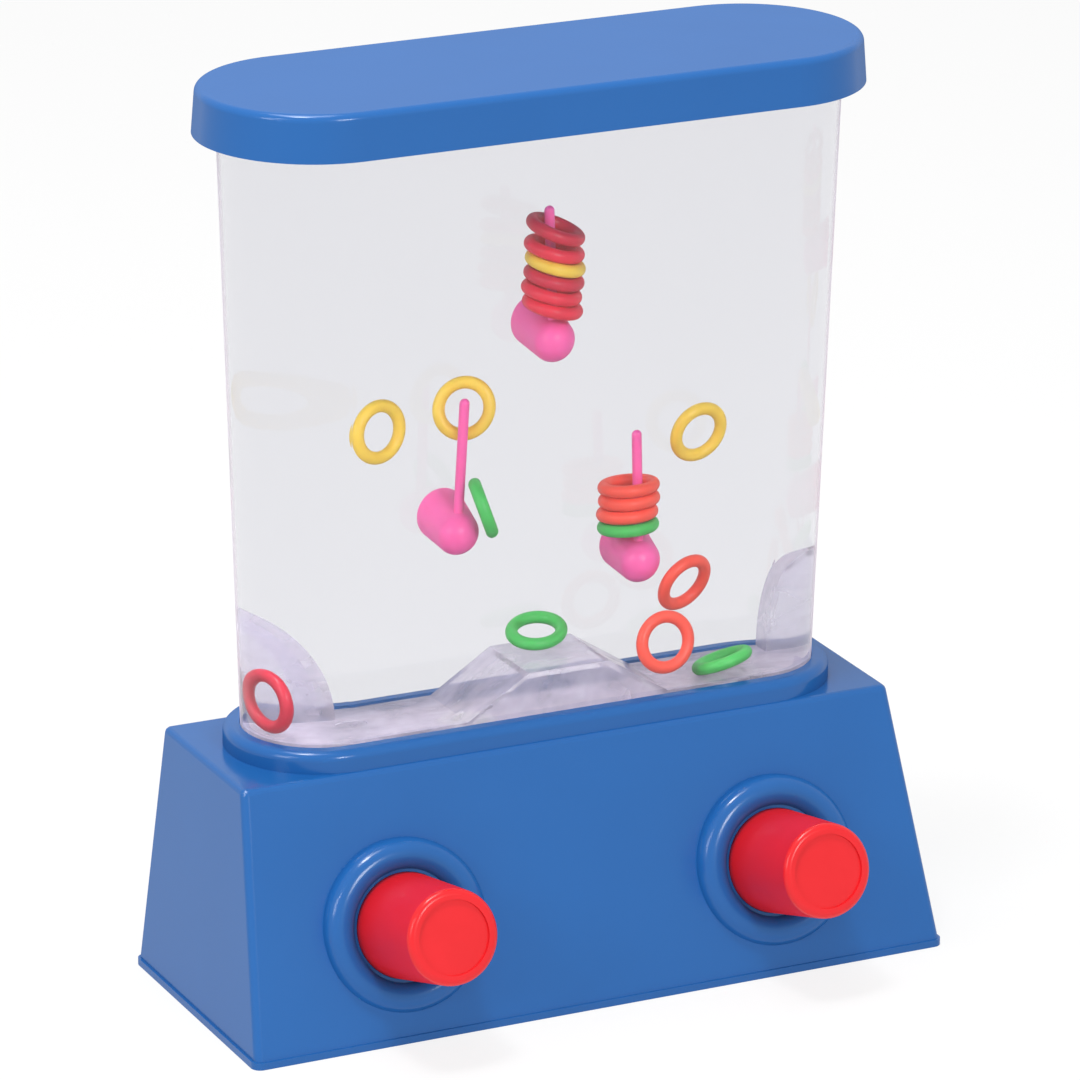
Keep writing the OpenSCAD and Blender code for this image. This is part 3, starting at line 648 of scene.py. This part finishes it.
class Shade(Enum):
    """The colours of the rings: a main colour and one a shade darker for each, and a darker copy
    of the red as painted shade.
    """

    RED = ("#f02c48", "#e0203c")
    # A darker copy of the red, as painted shade: on two rings of the top stack under the lid, and
    # on the corner ring, which the lamps light strongly
    SHADED_RED = ("#d62644", "#c61c38")
    YELLOW = ("#f8d452", "#ecc23e")
    ORANGE = ("#ff5a46", "#f24a38")
    GREEN = ("#4cc860", "#3cb650")


# ABS from a polished mould: an even strong blue, with short clear glints along its edges
BLUE_ABS = MouldedPlastic(
    "blue_abs_moulded", "#1e5ea2", "#1b599b", roughness=0.18, most_gloss=0.14
)
# ABS from a duller mould: a full red with a broader, softer shine
RED_ABS = MouldedPlastic("red_abs_moulded", "#de2028", "#d21a20", roughness=0.24, flow_mm=8.0)
# Polystyrene that light enters a little: candy pink whose shaded side stays warm
PINK_STYRENE = MouldedPlastic(
    "pink_styrene_moulded", "#ff6ab2", "#fa5ca6", roughness=0.3, flow_mm=5.0, glow=0.25
)
# Nylon in its natural colour: a dull creamy white
WHITE_NYLON = MouldedPlastic(
    "natural_nylon_moulded", "#e8e7e2", "#dedcd6", roughness=0.42, flow_mm=7.0
)
# Silicone tube: cloudy and dull, with light inside it
MILKY_TUBE = MouldedPlastic(
    "milky_silicone_extruded", "#dcdcda", "#cfcfcd", roughness=0.5, glow=0.3
)
# Nitrile rubber: nearly black and matt, with a grey bloom
SEAL_RUBBER = MouldedRubber("nitrile_rubber_moulded", "#2c2c2e", "#38383a")
# Zinc plate on steel: a bright grey metal, cloudy and finely marked
ZINC_STEEL = PlatedSteel("zinc_plated_steel", "#b9bcc0")
# Clear styrene with a milky, faintly violet cloud. It lies in water, so its IOR is the
# plastic's over water's: 1.5 / 1.33
WET_INSERT = ClearSolid(
    "milky_styrene_in_water",
    "#efedf6",
    ior=1.13,
    wave_mm=5.0,
    wave_depth_mm=0.02,
    milk=0.34,
    milk_tint="#ebe6f4",
)
# Clean water, almost without a tint. The wall's wet face has bent sight into it already, so
# its own face doesn't
STILL_WATER = ClearSolid("still_water", "#fbfbfc", ior=1.0)


# The object's sub-assemblies


@dataclass
class SubAssembly(ABC):
    """A group of pieces that is dressed together."""

    body: str = "toy"

    def dress(self, node: str, finish: Finish) -> None:
        """Gives a CAD node one of the finishes.

        Args:
            node: The node's name.
            finish: What its surface is made of.
        """
        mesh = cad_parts[node].data
        mesh.materials.clear()
        mesh.materials.append(finish.material())
        LOG.info("dressed %s in %s", node, finish.name)

    @abstractmethod
    def build(self) -> None:
        """Builds and dresses the sub-assembly's pieces."""


@dataclass
class Case(SubAssembly):
    """The blue base, its cover and screws, and the lid."""

    blue_nodes: tuple[str, ...] = ("base_housing", "bottom_cover", "lid")
    screw_nodes: tuple[str, ...] = ("cover_screws", "pump_screws")

    def build(self) -> None:
        """Dresses the mouldings and the screws."""
        for node in self.blue_nodes:
            self.dress(node, BLUE_ABS)
        for node in self.screw_nodes:
            self.dress(node, ZINC_STEEL)


@dataclass
class Tank(SubAssembly):
    """The clear tank with its seals, floor insert, filler and the water in it."""

    wall: float = 1.6 * MM
    floor: float = 1.7 * MM
    draft: float = math.radians(1.79)
    film: float = 0.04 * MM
    past_rim: float = 0.5 * MM
    frost: float = 0.7
    arc_steps: int = 40
    rise_steps: int = 6

    def build(self) -> None:
        """Dresses the tank's nodes and fills it."""
        low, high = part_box("tank")
        top_radius = (high.y - low.y) / 2
        flare = math.tan(self.draft)
        # Clear SAN: glassy, with a faint ripple in what is seen through it
        wall = WettedWall(
            "clear_san_moulded",
            "#f3f3f5",
            ior=1.5,
            wave_depth_mm=0.02,
            straight=(high.x - low.x) / 2 - top_radius,
            middle_radius=top_radius - high.z * flare - self.wall / 2,
            flare=flare,
            floor_height=low.z + self.floor / 2,
            milk=self.frost,
            milk_tint="#f0e6f2",
        )
        self.dress("tank", wall)
        self.dress("ramp_insert", WET_INSERT)
        for node in ("tank_seal", "lid_gasket", "filler_plug"):
            self.dress(node, SEAL_RUBBER)
        self.dress("filler_neck", WHITE_NYLON)
        self.fill()

    def outline(self, z: float) -> list[Vector]:
        """Traces the racetrack line on which the water meets the wall at height z.

        Args:
            z: The height, in metres.

        Returns:
            The outline's points, counterclockwise from the front's right.
        """
        low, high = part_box("tank")
        top_r = (high.y - low.y) / 2
        straight = (high.x - low.x) / 2 - top_r
        radius = top_r - (high.z - z) * math.tan(self.draft) - self.wall / math.cos(self.draft)
        radius -= self.film
        points = []
        for side in (1, -1):
            for i in range(self.arc_steps + 1):
                turn = math.radians(-90 + 180 * i / self.arc_steps)
                x = straight + radius * math.cos(turn)
                y = radius * math.sin(turn)
                points.append(Vector((side * x, side * y, z)))
        return points

    def fill(self) -> None:
        """Makes the water: one closed body from the tank's floor up to the gasket's middle."""
        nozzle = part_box("jet_nozzle_left")
        low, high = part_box("tank")
        bottom = low.z + self.floor + self.film
        top = high.z + self.past_rim
        build = bmesh.new()
        rings = []
        for i in range(self.rise_steps + 1):
            z = bottom + (top - bottom) * i / self.rise_steps
            rings.append([build.verts.new(p) for p in self.outline(z)])
        count = len(rings[0])
        for lower, upper in zip(rings, rings[1:]):
            for i in range(count):
                j = (i + 1) % count
                build.faces.new((lower[i], lower[j], upper[j], upper[i]))
        build.faces.new(rings[0])
        build.faces.new(rings[-1])
        water = new_mesh_object("water", build)
        water.data.materials.append(STILL_WATER.material())
        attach(water, self.body)
        LOG.info("water from %.4f to %.4f m, nozzles up to %.4f", bottom, top, nozzle[1].z)


@dataclass
class Pump(SubAssembly):
    """One button with its plunger, barrel, spring, tube and nozzle."""

    side: str = "left"

    def build(self) -> None:
        """Dresses the pump's nodes."""
        self.dress(f"button_{self.side}", RED_ABS)
        self.dress(f"plunger_{self.side}", WHITE_NYLON)
        self.dress(f"pump_barrel_{self.side}", WHITE_NYLON)
        self.dress(f"jet_nozzle_{self.side}", WET_INSERT)
        self.dress(f"jet_tube_{self.side}", MILKY_TUBE)
        self.dress(f"plunger_seal_{self.side}", SEAL_RUBBER)
        self.dress(f"return_spring_{self.side}", ZINC_STEEL)
        self.load_spring()

    def load_spring(self) -> None:
        """Gives the return spring its own copy of its mesh."""
        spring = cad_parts[f"return_spring_{self.side}"]
        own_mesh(spring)


@dataclass
class Pegs(SubAssembly):
    """The three pegs on the back wall."""

    nodes: tuple[str, ...] = ("peg_top", "peg_left", "peg_right")

    def build(self) -> None:
        """Dresses the pegs."""
        for node in self.nodes:
            self.dress(node, PINK_STYRENE)


@dataclass
class Rings(SubAssembly):
    """The loose and ringed rings."""

    roughness: float = 0.32
    glow: float = 0.2
    flow_mm: float = 3.0
    peel_mm: float = 0.8
    shades: dict[str, Shade] = field(
        default_factory=lambda: {
            "top_ring_1": Shade.RED,
            "top_ring_2": Shade.RED,
            "top_ring_3": Shade.SHADED_RED,
            "top_ring_4": Shade.YELLOW,
            "top_ring_5": Shade.RED,
            "top_ring_6": Shade.SHADED_RED,
            "right_ring_1": Shade.GREEN,
            "right_ring_2": Shade.ORANGE,
            "right_ring_3": Shade.ORANGE,
            "right_ring_4": Shade.ORANGE,
            "yellow_ring_left": Shade.YELLOW,
            "yellow_ring_middle": Shade.YELLOW,
            "yellow_ring_right": Shade.YELLOW,
            "orange_ring_upper": Shade.ORANGE,
            "orange_ring_lower": Shade.ORANGE,
            "green_ring_hill": Shade.GREEN,
            "green_ring_valley": Shade.GREEN,
            "green_ring_leaning": Shade.GREEN,
            "red_ring_corner": Shade.SHADED_RED,
        }
    )

    def finish(self, shade: Shade) -> MouldedPlastic:
        """Mixes the polyethylene of one ring colour, soft to the eye and a little waxy.

        Args:
            shade: The ring's colour.

        Returns:
            The finish.
        """
        base, dark = shade.value
        return MouldedPlastic(
            f"{shade.name.lower()}_polyethylene_moulded",
            base,
            dark,
            roughness=self.roughness,
            flow_mm=self.flow_mm,
            peel_mm=self.peel_mm,
            glow=self.glow,
        )

    def build(self) -> None:
        """Dresses each ring in its colour."""
        for node, shade in self.shades.items():
            self.dress(node, self.finish(shade))


# The studio


@dataclass(frozen=True)
class Lamp:
    """A soft square lamp, with its place and side in metres."""

    name: str
    place: tuple[float, float, float]
    side: float
    watts: float

    def hang(self, target: Vector) -> None:
        """Adds the lamp to the scene.

        Args:
            target: The point that it faces, in metres.
        """
        data = bpy.data.lights.new(self.name, "AREA")
        data.shape = "SQUARE"
        data.size = self.side
        data.energy = self.watts
        lamp = bpy.data.objects.new(self.name, data)
        bpy.context.scene.collection.objects.link(lamp)
        place = Vector(self.place)
        facing = (target - place).to_track_quat("-Z", "Y").to_matrix().to_4x4()
        lamp.matrix_world = Matrix.Translation(place) @ facing
        LOG.info("hung %s, %.1f W", self.name, self.watts)


@dataclass
class Studio:
    """The floor, the world, the lamps and the camera."""

    azimuth: float = math.radians(-25.81)
    elevation: float = math.radians(19.23)
    roll: float = math.radians(0.41)
    distance: float = 1.0934
    target: Vector = field(default_factory=lambda: Vector((0.001681, 0.0, 0.06969)))
    lens_mm: float = 227.02
    sensor_mm: float = 36.0
    farthest: float = 20.0
    floor_radius: float = 3.0
    floor_sides: int = 96
    floor_tone: str = "#e9e9e9"
    floor_white: float = 0.8
    sky_light: float = 0.62
    lamps: tuple[Lamp, ...] = (
        Lamp("overhead_softbox", (-0.1, 0.05, 0.95), 0.4, 3.2),
        Lamp("overhead_bulb", (-0.22, -0.12, 0.95), 0.15, 3.2),
        Lamp("left_softbox", (-0.85, -0.35, 0.45), 0.26, 1.6),
        Lamp("left_bulb", (-0.8, -0.5, 0.7), 0.08, 0.6),
        Lamp("front_softbox", (0.1, -1.1, 0.55), 0.26, 4.0),
    )

    def camera(self) -> None:
        """Places the camera at the photograph's angle, with its small roll."""
        a, e, r = self.azimuth, self.elevation, self.roll
        back = Vector((math.sin(a) * math.cos(e), -math.cos(a) * math.cos(e), math.sin(e)))
        right = Vector((0, 0, 1)).cross(back).normalized()
        up = back.cross(right)
        across = math.cos(r) * right + math.sin(r) * up
        upward = math.cos(r) * up - math.sin(r) * right
        data = bpy.data.cameras.new("camera")
        data.lens = self.lens_mm
        data.sensor_width = self.sensor_mm
        data.clip_end = self.farthest
        camera = bpy.data.objects.new("camera", data)
        bpy.context.scene.collection.objects.link(camera)
        turn = Matrix((across, upward, back)).transposed().to_4x4()
        camera.matrix_world = Matrix.Translation(self.target + back * self.distance) @ turn
        bpy.context.scene.camera = camera

    def floor(self) -> None:
        """Lays a pale floor that keeps the object's shadow."""
        build = bmesh.new()
        bmesh.ops.create_circle(
            build, cap_ends=True, segments=self.floor_sides, radius=self.floor_radius
        )
        floor = new_mesh_object("floor", build)
        # White paper: matt, and seen nearly white, with the shadow still on it
        paper = bpy.data.materials.new("white_paper")
        paper.use_nodes = True
        tree = paper.node_tree
        tree.nodes.clear()
        matt = add_node(tree, "ShaderNodeBsdfDiffuse", {"Color": srgb(self.floor_tone)})
        lit = add_node(tree, "ShaderNodeEmission", {"Color": (1, 1, 1, 1), "Strength": 1.0})
        seen = self.seen_directly(tree)
        share = add_node(
            tree, "ShaderNodeMath", {0: seen, 1: self.floor_white}, operation="MULTIPLY"
        )
        both = add_node(
            tree,
            "ShaderNodeMixShader",
            {0: share.outputs["Value"], 1: matt.outputs["BSDF"], 2: lit.outputs["Emission"]},
        )
        add_node(tree, "ShaderNodeOutputMaterial", {"Surface": both.outputs["Shader"]})
        floor.data.materials.append(paper)

    def seen_directly(self, tree: Tree) -> Socket:
        """Tells rays of sight from rays of light.

        Args:
            tree: The node tree of the floor or the world.

        Returns:
            A socket that is 1 for what the camera, gloss or clear pieces see.
        """
        path = add_node(tree, "ShaderNodeLightPath")
        first = add_node(
            tree,
            "ShaderNodeMath",
            {0: path.outputs["Is Camera Ray"], 1: path.outputs["Is Glossy Ray"]},
            operation="MAXIMUM",
        )
        second = add_node(
            tree,
            "ShaderNodeMath",
            {0: first.outputs["Value"], 1: path.outputs["Is Transmission Ray"]},
            operation="MAXIMUM",
        )
        return second.outputs["Value"]

    def world(self) -> None:
        """Surrounds the object with white to the eye, and with softer light to matt surfaces."""
        world = bpy.data.worlds.new("studio")
        bpy.context.scene.world = world
        world.use_nodes = True
        tree = world.node_tree
        tree.nodes.clear()
        seen = self.seen_directly(tree)
        strength = add_node(
            tree, "ShaderNodeMapRange", {"Value": seen, "To Min": self.sky_light, "To Max": 1.0}
        )
        sky = add_node(
            tree,
            "ShaderNodeBackground",
            {"Color": (1, 1, 1, 1), "Strength": strength.outputs["Result"]},
        )
        add_node(tree, "ShaderNodeOutputWorld", {"Surface": sky.outputs["Background"]})

    def build(self) -> None:
        """Sets the whole studio up."""
        self.camera()
        self.floor()
        self.world()
        for lamp in self.lamps:
            lamp.hang(self.target)
        view = bpy.context.scene.view_settings
        view.view_transform = "Standard"


def main() -> None:
    """Builds the sub-assemblies in order."""
    logging.basicConfig(level=logging.INFO, format="%(name)s: %(message)s")
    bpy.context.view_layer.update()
    Studio().build()
    parts: tuple[SubAssembly, ...] = (
        Case(),
        Tank(),
        Pump(side="left"),
        Pump(side="right"),
        Pegs(),
        Rings(),
    )
    for part in parts:
        part.build()


if __name__ == "__main__":
    main()
